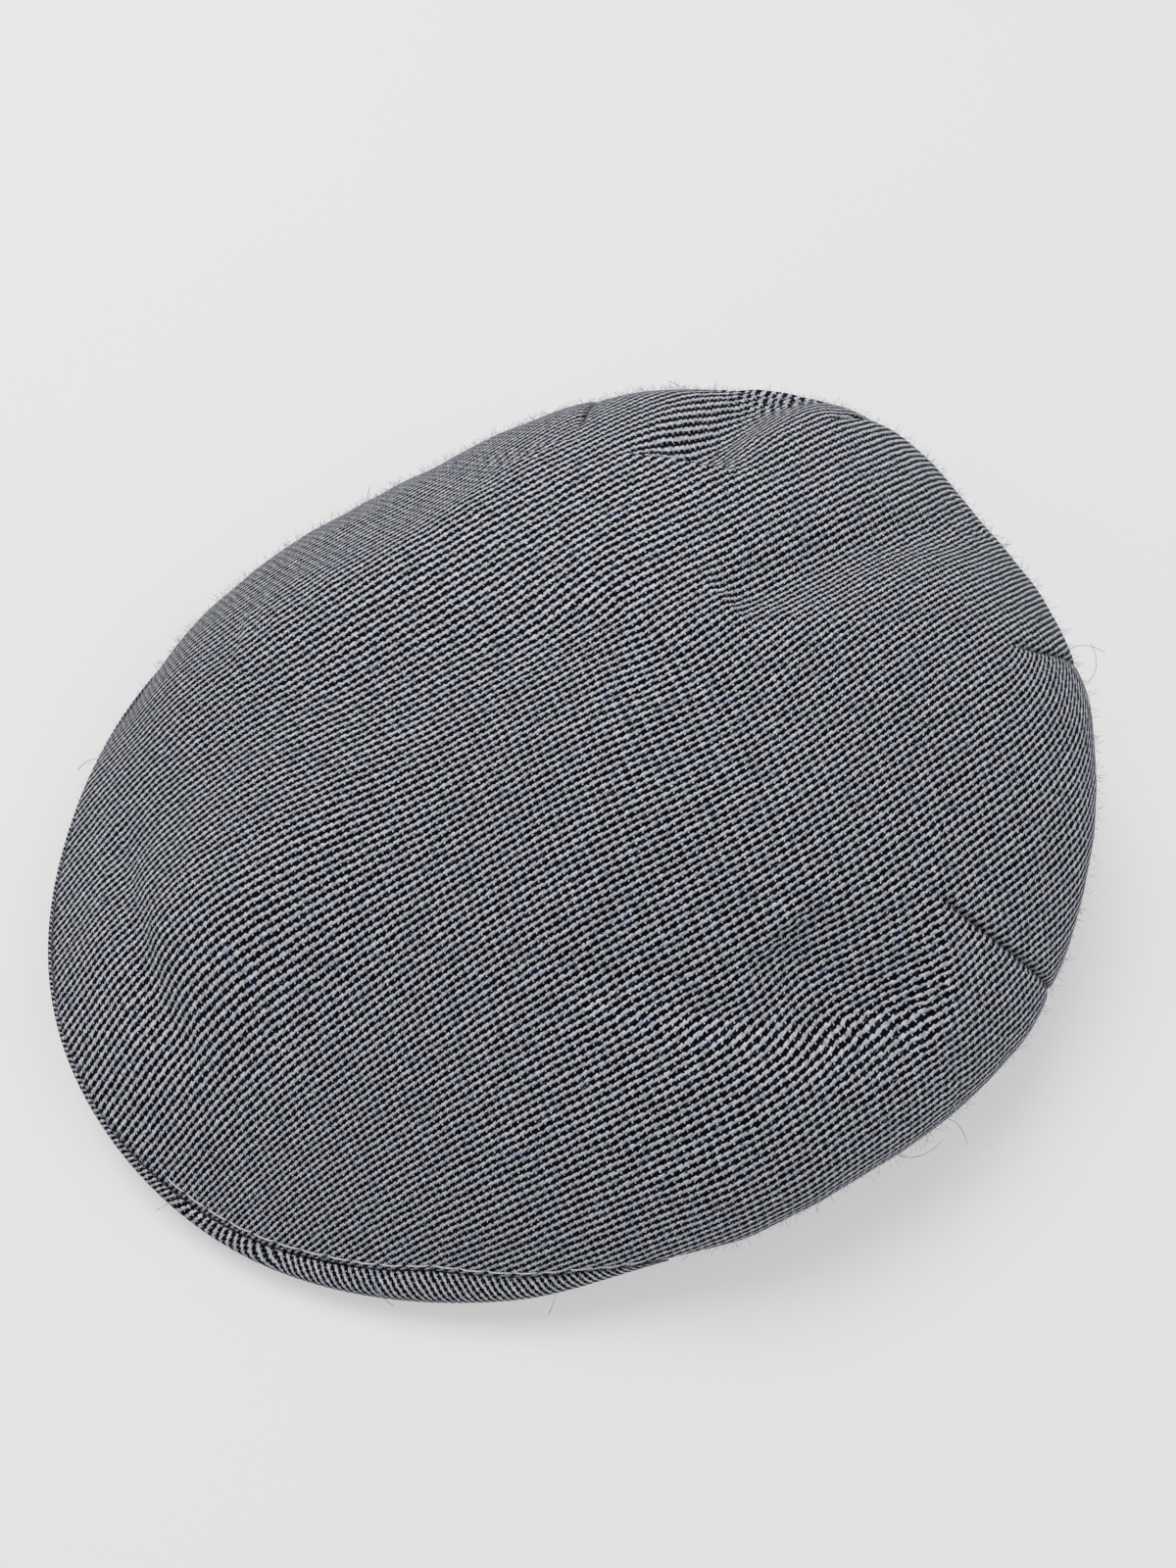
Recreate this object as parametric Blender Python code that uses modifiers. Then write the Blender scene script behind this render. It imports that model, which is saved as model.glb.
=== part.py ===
"""A flat cap lying on a table: a one-piece cloth crown over a stiff peak.

The peak points along -Y and the wearer's left is +X. Metres, +Z up, the table at Z = 0.
"""

import math

import bmesh
import bpy
import numpy as np

# Overall sizes
LENGTH = 0.285          # edge of the peak to the back of the crown
WIDTH = 0.241           # across the widest line of the crown
CREST_HEIGHT = 0.0935   # middle of the top, above the table
CLOTH = 0.002           # wall of the crown

# Head opening
HEAD_LENGTH = 0.200     # inside the band, front to back
HEAD_WIDTH = 0.168
HEAD_SETBACK = 0.020    # middle of the opening, behind the middle of the cap
BAND_HEIGHT = 0.022
BAND_THICKNESS = 0.002

# Peak
PEAK_THICKNESS = 0.0035
STRIP_DROP = 0.0045     # depth of the turned edge strip
PEAK_TIP = 0.004        # the peak ends at the sides where it has narrowed to this
PEAK_ROOT = 0.0045      # underside of the peak at the head band, above the table

# Colours
CLOTH_COLOR = (0.105, 0.112, 0.145)
BAND_COLOR = (0.02, 0.022, 0.03)

# Fits
GAP = 0.0003            # between neighbouring pieces
FOOT_LIFT = 0.001       # lower edge of the crown, above the table
FOOT_ROOM = 1.0         # the crown's edge stands off the head band by this share of the cloth

# How the top is drawn
CREST_BACK = 0.115      # the middle of the top lies behind the middle of the cap, share of half the length
CREST_TILT = 0.10       # rise of the top towards the back
CREST_SPAN = 0.38       # flat part of the top, share of the way out
UNDER = 0.55            # fullness of the cloth below the widest line
STRIP_SLOPE = 0.6       # rise of the turned strip towards the crown
STRIP_FADE = 8          # degrees over which the crown's edge meets the outline past the strip's ends
STRIP_ROUND = 0.7       # the strip's upper and lower faces end here, share of its width, rounded beyond
TUCK_RUN = 20           # degrees over which the foot moves in from the peak edge to the band

# Mesh
COLUMNS = 66            # round the crown, before the darts are drawn in
UPPER_ROWS = 17         # from the middle of the top to the widest line
LOWER_ROWS = 7          # from there to the foot
PEAK_ROWS = 5
BAND_SIDES = 64
MERGE = 0.00001         # points closer than this are one
TINY = 1e-12            # keeps a division from failing where points meet
DENSE = 60              # points along a section's curve, before it is divided evenly

# Round the crown from the front (0 degrees) past the wearer's left (90) and the back (180).
# reach: widest line, share of half the length or width. bulge: its height, share of the crest height.
# shoulder: how full the section is, share of its run. fall: slope down to the widest line, degrees.
SECTION_COLUMNS = ("angle", "reach", "bulge", "shoulder", "fall")
SECTIONS = (
    # angle reach bulge shoulder fall
    (0, 0.98, 0.175, 0.27, 34),
    (30, 0.98, 0.085, 0.27, 42),
    (60, 0.965, 0.13, 0.24, 68),
    (90, 0.975, 0.27, 0.22, 90),
    (120, 1.02, 0.23, 0.22, 90),
    (150, 0.96, 0.465, 0.24, 90),
    (180, 0.95, 0.455, 0.24, 90),
    (210, 1.06, 0.41, 0.24, 90),
    (240, 1.03, 0.38, 0.22, 90),
    (270, 0.99, 0.24, 0.22, 90),
    (300, 1.03, 0.17, 0.24, 68),
    (330, 1.00, 0.155, 0.27, 32),
)

# The turned strip along the peak edge, as seen from above. width: share of the half width.
STRIP = (
    # angle width
    (-62, 0.009),
    (-20, 0.011),
    (10, 0.014),
    (30, 0.033),
    (50, 0.053),
    (66, 0.030),
    (74, 0.012),
)

# Short seams that run from the foot up the back of the crown. start: 0 middle of the top, 1 widest line.
DARTS = (
    # angle start
    (117, 0.58),
    (152.5, 0.66),
    (207.5, 0.66),
    (243, 0.58),
)
DART_DEPTH = 0.0025
DART_HALF_WIDTH = 0.0045
DART_START = 0.12       # share of the way over which a dart gains its depth
DART_SHARPNESS = 1.7    # how quickly the cloth rises beside the seam
DART_ROOM = 1.6         # even columns stay this many half widths clear of a dart

# Folds and dents, each along a curved line over the cloth through a start, a middle and an end.
# angle: where round the crown. along: 0 middle of the top, 1 widest line.
# spread: half width of the fold, share of the half width of the cap.
# depth: share of the crest height, raised where negative.
FOLDS = (
    # start: angle along, middle: angle along, end: angle along, spread depth
    (181, 0.86, 174, 0.38, 158, 0.16, 0.075, 0.045),
    (110, 0.08, 5, 0.13, 350, 0.38, 0.090, 0.010),
    (226, 0.38, 222, 0.58, 219, 0.88, 0.095, 0.085),
    (254, 0.60, 285, 0.42, 308, 0.68, 0.130, -0.020),
    (330, 0.88, 358, 0.83, 12, 0.84, 0.050, 0.022),
    (68, 0.58, 86, 0.68, 106, 0.80, 0.050, 0.050),
    (93, 0.54, 99, 0.67, 106, 0.76, 0.110, 0.065),
)
FOLD_STEPS = 24         # points along a fold's line


def around_crown(column, angles):
    """Values of one column of SECTIONS at any angles, on a smooth closed curve."""
    at, values = (
        np.array([row[SECTION_COLUMNS.index(name)] for row in SECTIONS], float)
        for name in ("angle", column)
    )
    slope = (np.roll(values, -1) - np.roll(values, 1)) / ((np.roll(at, -1) - np.roll(at, 1)) % 360)
    angles = np.asarray(angles, float) % 360
    i = np.searchsorted(at, angles, side="right") - 1
    j = (i + 1) % len(at)
    step = (at[j] - at[i]) % 360
    t = (angles - at[i]) / step
    a = (1 + 2 * t) * (1 - t) ** 2
    b = t * (1 - t) ** 2 * step
    c = t * t * (3 - 2 * t)
    d = t * t * (t - 1) * step
    return a * values[i] + b * slope[i] + c * values[j] + d * slope[j]


def strip_width(angles):
    """Width of the turned strip, nothing beyond its ends."""
    at = [STRIP[0][0] - STRIP_FADE] + [row[0] for row in STRIP] + [STRIP[-1][0] + STRIP_FADE]
    share = [0] + [row[1] for row in STRIP] + [0]
    wrapped = (np.asarray(angles, float) + 180) % 360 - 180
    return np.interp(wrapped, at, share) * WIDTH / 2


def bezier(p0, p1, p2, p3, count):
    """Points on cubic curves between p0 and p3."""
    t = np.linspace(0, 1, count)[None, :, None]
    p0, p1, p2, p3 = (p[:, None, :] for p in (p0, p1, p2, p3))
    return (1 - t) ** 3 * p0 + 3 * t * (1 - t) ** 2 * p1 + 3 * t * t * (1 - t) * p2 + t ** 3 * p3


def outline(angles):
    """The widest line of the cap, scaled to its length and width and centred on the origin."""
    def raw(degrees):
        reach = around_crown("reach", degrees)
        turn = np.radians(degrees)
        return np.stack([reach * np.sin(turn), -reach * np.cos(turn)], 1)
    ring = raw(np.arange(360.0))
    low, high = ring.min(0), ring.max(0)
    return (raw(np.asarray(angles, float)) - (low + high) / 2) / (high - low) * [WIDTH, LENGTH]


def head_line(angles, outset):
    """The head opening, moved outwards."""
    turn = np.radians(np.asarray(angles, float))
    x = (HEAD_WIDTH / 2 + outset) * np.sin(turn)
    y = HEAD_SETBACK - (HEAD_LENGTH / 2 + outset) * np.cos(turn)
    return np.stack([x, y], 1)


def tucks(angles):
    """How far the cloth turns under: nothing along the peak, all the way to the head band behind it."""
    away = np.abs((np.asarray(angles, float) + 180) % 360 - 180)
    return np.sin(np.clip((away - STRIP[-1][0]) / TUCK_RUN, 0, 1) * math.pi / 2)


def edges(angles):
    """The crown's widest line and its foot, with the outward direction at each."""
    rim = outline(angles)
    out = rim / np.linalg.norm(rim, axis=1)[:, None]
    width = strip_width(angles)
    height = around_crown("bulge", angles) * CREST_HEIGHT + width * STRIP_SLOPE
    widest = np.column_stack([rim - out * width[:, None], height])
    clear = BAND_THICKNESS + GAP + FOOT_ROOM * CLOTH
    band = np.column_stack([head_line(angles, clear), np.full(len(rim), FOOT_LIFT)])
    tuck = tucks(angles)[:, None]
    foot = widest + (band - widest) * np.hstack([tuck, tuck, 1 - (1 - tuck) ** 2])
    return widest, foot, np.column_stack([out, np.zeros(len(rim))])


def section_lines(angles):
    """Each section as a dense line: the upper part to the widest line, then the lower part to the foot."""
    widest, foot, _ = edges(angles)
    shoulder = around_crown("shoulder", angles)
    fall = np.radians(around_crown("fall", angles))
    top = np.array([0, CREST_BACK * LENGTH / 2, CREST_HEIGHT])
    away = widest[:, :2] - top[:2]
    run = np.linalg.norm(away, axis=1)
    away = away / run[:, None]

    def beside(distance, height):
        return np.column_stack([top[:2] + away * distance[:, None], height])

    flat = CREST_SPAN * run
    full = shoulder * run
    start = np.repeat(top[None], len(run), 0)
    over = beside(flat, CREST_HEIGHT + CREST_TILT * away[:, 1] * flat)
    above = beside(run - full * np.cos(fall), widest[:, 2] + full * np.sin(fall))
    upper = bezier(start, over, above, widest, DENSE)
    drop = UNDER * (widest[:, 2] - foot[:, 2])
    below = widest + np.column_stack([away * (drop * np.cos(fall))[:, None], -drop * np.sin(fall)])
    inward = foot + (widest - foot) * [0.5, 0.5, 0]
    lower = bezier(widest, below, inward, foot, DENSE)
    return upper, lower


def divide(line, stations):
    """Points of a line at shares of its length."""
    along = np.concatenate([[0], np.cumsum(np.linalg.norm(np.diff(line, axis=0), axis=1))])
    keep = np.concatenate([[True], np.diff(along) > 0])
    return np.stack([np.interp(stations * along[-1], along[keep], line[keep, axis]) for axis in range(3)], 1)


def place(angle, along):
    """A point of the plain crown: along is 0 at the middle of the top and 1 at the widest line."""
    upper, _ = section_lines([angle])
    return divide(upper[0], np.array([along]))[0]


def fold_line(points_along):
    """Points along a fold through a start, a middle and an end, and how far along it each is."""
    angles, shares = points_along[::2], points_along[1::2]
    start, middle, end = (place(angle, share) for angle, share in zip(angles, shares))
    bend = 2 * middle - (start + end) / 2
    t = np.linspace(0, 1, FOLD_STEPS)
    at = t[:, None]
    return (1 - at) ** 2 * start + 2 * at * (1 - at) * bend + at * at * end, t


def normals(points):
    """Outward directions on a grid of points that closes round the crown."""
    around = np.roll(points, -1, 0) - np.roll(points, 1, 0)
    down = np.gradient(points, axis=1)
    facing = np.cross(around, -down)
    facing[:, 0] = (0, 0, 1)
    return facing / np.maximum(np.linalg.norm(facing, axis=2), TINY)[..., None]


def hollows(points, angles, along):
    """How deep each point of the crown lies under the plain form."""
    depth = np.zeros(points.shape[:2])
    for *points_along, spread, deep in FOLDS:
        line, t = fold_line(points_along)
        away = np.linalg.norm(points[:, :, None] - line, axis=3)
        ends = 1 - (2 * t[away.argmin(2)] - 1) ** 4
        depth += deep * CREST_HEIGHT * np.exp(-(away.min(2) / (spread * WIDTH / 2)) ** 2) * ends
    for angle, start in DARTS:
        turn = np.radians((angles[:, None] - angle + 180) % 360 - 180)
        away = np.abs(turn) * np.linalg.norm(points[..., :2], axis=2)
        run = np.clip((along - start) / DART_START, 0, 1)
        depth += DART_DEPTH * np.exp(-DART_SHARPNESS * away / DART_HALF_WIDTH) * run * (3 - 2 * run) * run
    return depth


def column_angles():
    """Even steps round the crown, with three close columns drawn in at each dart."""
    angles = [i * 360 / COLUMNS for i in range(COLUMNS)]
    reach = math.degrees(DART_HALF_WIDTH / (WIDTH / 2))
    for dart, _ in DARTS:
        angles = [a for a in angles if abs(a - dart) > DART_ROOM * reach]
        angles += [dart - reach, dart, dart + reach]
    return np.array(sorted(angles))


def front_columns():
    """The crown's own columns from the back past the front, for the pieces that lie under its edge."""
    return np.sort((column_angles() + 180) % 360 - 180)


def crown_points(angles):
    """The crown's outer face with its folds and darts, a row of points for each angle."""
    upper, lower = section_lines(angles)
    top_rows = np.linspace(0, 1, UPPER_ROWS)
    foot_rows = np.linspace(0, 1, LOWER_ROWS + 1)[1:]
    points = np.array([
        np.concatenate([divide(upper[i], top_rows), divide(lower[i], foot_rows)]) for i in range(len(angles))
    ])
    along = np.concatenate([top_rows, 1 + foot_rows])
    points -= normals(points) * hollows(points, angles, along)[..., None]
    over_peak = tucks(angles) == 0
    points[over_peak, UPPER_ROWS:] = points[over_peak, UPPER_ROWS - 1, None]
    return points


def add_object(name, vertices, faces, color, roughness):
    """A named object with its own material, from points and faces."""
    mesh = bpy.data.meshes.new(name)
    mesh.from_pydata([tuple(v) for v in vertices], [], faces)
    mesh.validate()
    material = bpy.data.materials.new(name)
    material.use_nodes = True
    shader = material.node_tree.nodes["Principled BSDF"]
    shader.inputs["Base Color"].default_value = (*color, 1)
    shader.inputs["Roughness"].default_value = roughness
    shader.inputs["Metallic"].default_value = 0
    mesh.materials.append(material)
    mesh.shade_smooth()
    part = bpy.data.objects.new(name, mesh)
    cap.objects.link(part)
    return part


def merge(part):
    """Join points that meet, as where the crown's lower part runs out along the peak edge."""
    shell = bmesh.new()
    shell.from_mesh(part.data)
    bmesh.ops.remove_doubles(shell, verts=shell.verts, dist=MERGE)
    shell.to_mesh(part.data)
    shell.free()


def thicken(part, thickness):
    """Give an open surface a wall behind its outer face."""
    wall = part.modifiers.new("wall", "SOLIDIFY")
    wall.thickness = thickness
    wall.offset = -1
    wall.use_even_offset = True
    wall.use_rim = True


def make_crown():
    """One cloth shell from the middle of the top to the foot."""
    angles = column_angles()
    points = crown_points(angles)
    count, rows = points.shape[:2]
    vertices = [points[0, 0]] + [points[i, j] for j in range(1, rows) for i in range(count)]

    def index(column, row):
        return 1 + (row - 1) * count + column % count

    faces = [(0, index(i, 1), index(i + 1, 1)) for i in range(count)]
    for j in range(1, rows - 1):
        for i in range(count):
            faces.append((index(i, j), index(i, j + 1), index(i + 1, j + 1), index(i + 1, j)))
    crown = add_object("crown", vertices, faces, CLOTH_COLOR, 0.9)
    merge(crown)
    thicken(crown, CLOTH)


def add_loft(name, sections):
    """A closed solid through sections of equal count, in order, each drawn the same way round."""
    sides = len(sections[0])
    last = (len(sections) - 1) * sides
    faces = [tuple(reversed(range(sides))), tuple(last + k for k in range(sides))]
    for i in range(len(sections) - 1):
        for k in range(sides):
            a = i * sides + k
            b = i * sides + (k + 1) % sides
            faces.append((a, b, b + sides, a + sides))
    add_object(name, np.concatenate(sections), faces, CLOTH_COLOR, 0.9)


def make_peak():
    """The stiff peak: a thin board from the head band out to the foot of the crown."""
    angles = front_columns()
    _, foot, out = edges(angles)
    outer = foot - out * (CLOTH + GAP)
    outer[:, 2] = np.maximum(foot[:, 2] - CLOTH - GAP, PEAK_THICKNESS + FOOT_LIFT)
    rise = PEAK_ROOT + PEAK_THICKNESS
    inner = np.column_stack([head_line(angles, BAND_THICKNESS + GAP), np.full(len(angles), rise)])
    room = ((outer - inner) * out).sum(1)
    share = np.linspace(0, 1, PEAK_ROWS)[:, None]
    sections = []
    for i in np.flatnonzero(room > PEAK_TIP):
        top = inner[i] + (outer[i] - inner[i]) * share
        sections.append(np.concatenate([top[::-1] - [0, 0, PEAK_THICKNESS], top]))
    add_loft("peak", sections)


def make_peak_edge():
    """The turned strip: a flange under the crown's edge and a rounded rim outside it."""
    angles = front_columns()
    angles = angles[(angles >= STRIP[0][0]) & (angles <= STRIP[-1][0])]
    edge, _, out = edges(angles)
    width = strip_width(angles)
    flange = CLOTH + GAP
    sections = []
    for i in range(len(angles)):
        wide = width[i]
        fall = wide * STRIP_SLOPE
        across_and_up = np.array((
            (-CLOTH, -flange),
            (GAP, -flange),
            (GAP, 0),
            (STRIP_ROUND * wide, -STRIP_ROUND * fall),
            (wide, -fall - STRIP_DROP / 4),
            (wide, -fall - STRIP_DROP / 2),
            (STRIP_ROUND * wide, -fall - STRIP_DROP),
            (-CLOTH, -fall - STRIP_DROP),
        ))
        sections.append(edge[i] + across_and_up[:, :1] * out[i] + across_and_up[:, 1:] * [0, 0, 1])
    add_loft("peak_edge", sections)


def make_head_band():
    """A plain upright band round the head opening."""
    bpy.ops.mesh.primitive_cylinder_add(
        vertices=BAND_SIDES,
        radius=0.5,
        depth=BAND_HEIGHT,
        end_fill_type="NOTHING",
        location=(0, HEAD_SETBACK, BAND_HEIGHT / 2),
    )
    ring = bpy.context.object
    ring.scale = (HEAD_WIDTH + 2 * BAND_THICKNESS, HEAD_LENGTH + 2 * BAND_THICKNESS, 1)
    bpy.ops.object.transform_apply(location=True, rotation=False, scale=True)
    band = add_object("head_band", [v.co for v in ring.data.vertices],
                      [tuple(p.vertices) for p in ring.data.polygons], BAND_COLOR, 0.8)
    bpy.data.objects.remove(ring)
    thicken(band, BAND_THICKNESS)


for old in list(bpy.data.objects):
    bpy.data.objects.remove(old)
cap = bpy.data.collections.new("flat_cap")
bpy.context.scene.collection.children.link(cap)
make_crown()
make_peak()
make_peak_edge()
make_head_band()
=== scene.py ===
import math

import bmesh
import bpy
import numpy as np
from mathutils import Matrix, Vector, noise


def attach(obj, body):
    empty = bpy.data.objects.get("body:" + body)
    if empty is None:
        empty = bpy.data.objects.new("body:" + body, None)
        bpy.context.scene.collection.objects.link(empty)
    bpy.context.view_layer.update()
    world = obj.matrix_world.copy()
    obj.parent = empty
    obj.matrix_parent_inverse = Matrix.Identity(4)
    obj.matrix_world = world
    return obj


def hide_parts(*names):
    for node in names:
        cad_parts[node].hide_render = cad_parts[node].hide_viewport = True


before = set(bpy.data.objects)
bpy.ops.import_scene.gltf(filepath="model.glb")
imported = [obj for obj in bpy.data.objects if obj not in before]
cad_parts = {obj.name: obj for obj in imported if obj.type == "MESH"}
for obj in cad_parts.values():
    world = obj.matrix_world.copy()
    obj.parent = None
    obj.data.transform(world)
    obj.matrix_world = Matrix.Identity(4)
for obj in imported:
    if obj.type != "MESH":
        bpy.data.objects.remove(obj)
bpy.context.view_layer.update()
view = bpy.context.scene.view_settings
view.view_transform = "Standard"
view.look = "None"
print("frame loaded:", sorted(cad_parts))


# Camera
cameraPlan = {
    "azimuth": 60,          # degrees round from the peak
    "elevation": 60,
    "distance": 0.3040,
    "target": (0.00675, 0.00185, 0.0404),
    "lens": 27.05,
    "clip": (0.01, 20),
}


def makeCamera(plan):
    turn = math.radians(plan["azimuth"])
    rise = math.radians(plan["elevation"])
    back = Vector((math.sin(turn) * math.cos(rise), -math.cos(turn) * math.cos(rise), math.sin(rise)))
    lens = bpy.data.cameras.new("camera")
    lens.lens = plan["lens"]
    lens.clip_start, lens.clip_end = plan["clip"]
    camera = bpy.data.objects.new("camera", lens)
    bpy.context.scene.collection.objects.link(camera)
    camera.location = Vector(plan["target"]) + back * plan["distance"]
    camera.rotation_mode = "QUATERNION"
    camera.rotation_quaternion = (-back).to_track_quat("-Z", "Y")
    bpy.context.scene.camera = camera


makeCamera(cameraPlan)


# Studio
studioPlan = {
    "floorSize": 6.0,
    "floorColour": (0.37, 0.37, 0.368),
    "floorGlow": 0.41,      # painted light: the table glows though it is no lamp, so that its shadows stay faint
    "glowColour": (1.0, 0.998, 0.99),
    "floorRoughness": 0.55,
    "floorSpecular": 0.25,
    "cloud": 3.0,           # noise scale and spread of the table's slight unevenness
    "cloudSpread": 0.015,
    "worldColour": (0.95, 0.97, 1.0),
    "worldStrength": 0.50,
    "keyFrom": (-1.30, -0.12, 2.40),    # left of the picture, high up
    "keySize": 1.5,
    "keyPower": 36.0,
    "keyColour": (1.0, 0.985, 0.96),
    "fillFrom": (1.5, 1.1, 1.7),
    "fillSize": 1.6,
    "fillPower": 9.0,
    "fillColour": (0.96, 0.98, 1.0),
    "aim": (0, 0, 0.03),
}


def addLight(plan, name):
    lamp = bpy.data.lights.new(name + "Light", "AREA")
    lamp.shape = "DISK"
    lamp.size = plan[name + "Size"]
    lamp.energy = plan[name + "Power"]
    lamp.color = plan[name + "Colour"]
    light = bpy.data.objects.new(name + "Light", lamp)
    bpy.context.scene.collection.objects.link(light)
    spot = Vector(plan[name + "From"])
    light.location = spot
    light.rotation_mode = "QUATERNION"
    light.rotation_quaternion = (Vector(plan["aim"]) - spot).to_track_quat("-Z", "Y")


def makeStudio(plan):
    world = bpy.data.worlds.new("studio")
    bpy.context.scene.world = world
    world.use_nodes = True
    sky = world.node_tree.nodes["Background"]
    sky.inputs["Color"].default_value = (*plan["worldColour"], 1)
    sky.inputs["Strength"].default_value = plan["worldStrength"]
    addLight(plan, "key")
    addLight(plan, "fill")
    bpy.ops.object.select_all(action="DESELECT")
    bpy.ops.mesh.primitive_plane_add(size=plan["floorSize"], location=(0, 0, 0))
    floor = bpy.context.object
    floor.name = "floor"
    paint = bpy.data.materials.new("paleTable")
    paint.use_nodes = True
    nodes, links = paint.node_tree.nodes, paint.node_tree.links
    shader = nodes["Principled BSDF"]
    shader.inputs["Roughness"].default_value = plan["floorRoughness"]
    shader.inputs["Specular IOR Level"].default_value = plan["floorSpecular"]
    where = nodes.new("ShaderNodeTexCoord")
    cloud = nodes.new("ShaderNodeTexNoise")
    cloud.inputs["Scale"].default_value = plan["cloud"]
    cloud.inputs["Detail"].default_value = 3.0
    shade = nodes.new("ShaderNodeMix")
    shade.data_type = "RGBA"
    for name, share in (("A", 1 - plan["cloudSpread"]), ("B", 1 + plan["cloudSpread"])):
        shade.inputs[name].default_value = (*(c * share for c in plan["floorColour"]), 1)
    links.new(where.outputs["Object"], cloud.inputs["Vector"])
    links.new(cloud.outputs["Fac"], shade.inputs["Factor"])
    links.new(shade.outputs["Result"], shader.inputs["Base Color"])
    # painted light: the floor glows, which lifts the shadows that fall on it
    shader.inputs["Emission Color"].default_value = (*plan["glowColour"], 1)
    shader.inputs["Emission Strength"].default_value = plan["floorGlow"]
    floor.data.materials.append(paint)


makeStudio(studioPlan)
print("camera and studio ready")


# Weave
# Wool in light and dark yarn: the light yarns draw stepped rows with a tooth every two millimetres.
# The pattern follows the map "cloth", in metres, with the rows along its second axis.
clothPlan = {
    "rowPitch": 0.00178,    # from one light row to the next
    "toothPitch": 0.00213,  # along a row
    "bodyHalf": 0.225,      # half heights of a light row, shares of the row pitch
    "bodyRise": 0.035,      # how much a body gains towards the next neck
    "bodyEdge": (-0.95, -0.55),     # cosines along the row between which a neck widens to a body
    "neckHalf": 0.155,
    "neckSink": 0.08,       # a neck's centre below the body's
    "spurAt": -0.03,        # shares of the tooth pitch from the body's centre
    "spurHalf": 0.075,
    "spurReach": 0.48,
    "lightYarn": (0.605, 0.61, 0.645),
    "blueYarn": (0.26, 0.30, 0.43),
    "darkYarn": (0.003, 0.003, 0.005),
    "navyYarn": (0.008, 0.010, 0.034),
    "softEdge": 0.022,      # how soft a yarn's outline is, share of the row pitch
    "wander": (240, 0.0009),    # noise scale, and how far the yarns stray (m)
    "jitter": (1300, 0.0007),
    "fibre": 5200,          # noise scale of the fibres, and how much they shine
    "fibreShine": (0.7, 0.6),
    # blue and navy patches and thick places: noise scale, detail, roughness, then the span they fade in
    "patch": (420, 3, 0.65, 0.50, 0.74),
    "patchShare": 0.7,
    "navyPatch": (300, 2, 0.6, 0.52, 0.70),
    "slub": (700, 1, 0.5, 0.25, 0.75, 0.70, 1.15),
    "seamShade": 0.25,      # what a dart's seam leaves of the light
    "reliefStrength": 0.55,
    "reliefHeight": 0.0004,
    "roughness": 0.92,
    "specular": 0.04,
    "sheen": 0.035,
    "sheenRoughness": 0.35,
    "sheenColour": (0.62, 0.70, 0.95),
}


class NodeBench:
    # adds nodes to a tree and joins them up
    def __init__(self, tree):
        self.tree = tree

    def put(self, value, socket):
        if isinstance(value, bpy.types.NodeSocket):
            self.tree.links.new(value, socket)
        elif value is not None:
            socket.default_value = value

    def math(self, operation, a, b=None):
        node = self.tree.nodes.new("ShaderNodeMath")
        node.operation = operation
        for value, socket in zip((a, b), node.inputs):
            self.put(value, socket)
        return node.outputs[0]

    def vector(self, operation, a, b):
        node = self.tree.nodes.new("ShaderNodeVectorMath")
        node.operation = operation
        self.put(a, node.inputs[0])
        self.put(b, node.inputs["Scale"] if operation == "SCALE" else node.inputs[1])
        return node.outputs[0]

    def mix(self, factor, a, b):
        node = self.tree.nodes.new("ShaderNodeMix")
        node.data_type = "RGBA"
        self.put(factor, node.inputs["Factor"])
        self.put(a, node.inputs["A"])
        self.put(b, node.inputs["B"])
        return node.outputs["Result"]

    def noise(self, where, scale, detail, roughness=0.5, colour=False):
        node = self.tree.nodes.new("ShaderNodeTexNoise")
        self.put(where, node.inputs["Vector"])
        node.inputs["Scale"].default_value = scale
        node.inputs["Detail"].default_value = detail
        node.inputs["Roughness"].default_value = roughness
        return node.outputs["Color" if colour else "Fac"]

    def smooth(self, value, low, high, newLow=0.0, newHigh=1.0):
        node = self.tree.nodes.new("ShaderNodeMapRange")
        node.interpolation_type = "SMOOTHSTEP"
        self.put(value, node.inputs["Value"])
        for name, number in zip(("From Min", "From Max", "To Min", "To Max"), (low, high, newLow, newHigh)):
            node.inputs[name].default_value = number
        return node.outputs["Result"]

    def patches(self, where, scale, detail, roughness, *span):
        return self.smooth(self.noise(where, scale, detail, roughness), *span)

    def objectPlace(self):
        return self.tree.nodes.new("ShaderNodeTexCoord").outputs["Object"]

    def clothPlace(self):
        where = self.tree.nodes.new("ShaderNodeUVMap")
        where.uv_map = "cloth"
        return where.outputs["UV"]

    def relief(self, height, shader, plan):
        bump = self.tree.nodes.new("ShaderNodeBump")
        bump.inputs["Strength"].default_value = plan["reliefStrength"]
        bump.inputs["Distance"].default_value = plan["reliefHeight"]
        self.put(height, bump.inputs["Height"])
        self.put(bump.outputs["Normal"], shader.inputs["Normal"])


def startMaterial(name, plan):
    material = bpy.data.materials.new(name)
    material.use_nodes = True
    shader = material.node_tree.nodes["Principled BSDF"]
    shader.inputs["Roughness"].default_value = plan["roughness"]
    shader.inputs["Sheen Weight"].default_value = plan["sheen"]
    return material, NodeBench(material.node_tree), shader


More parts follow.
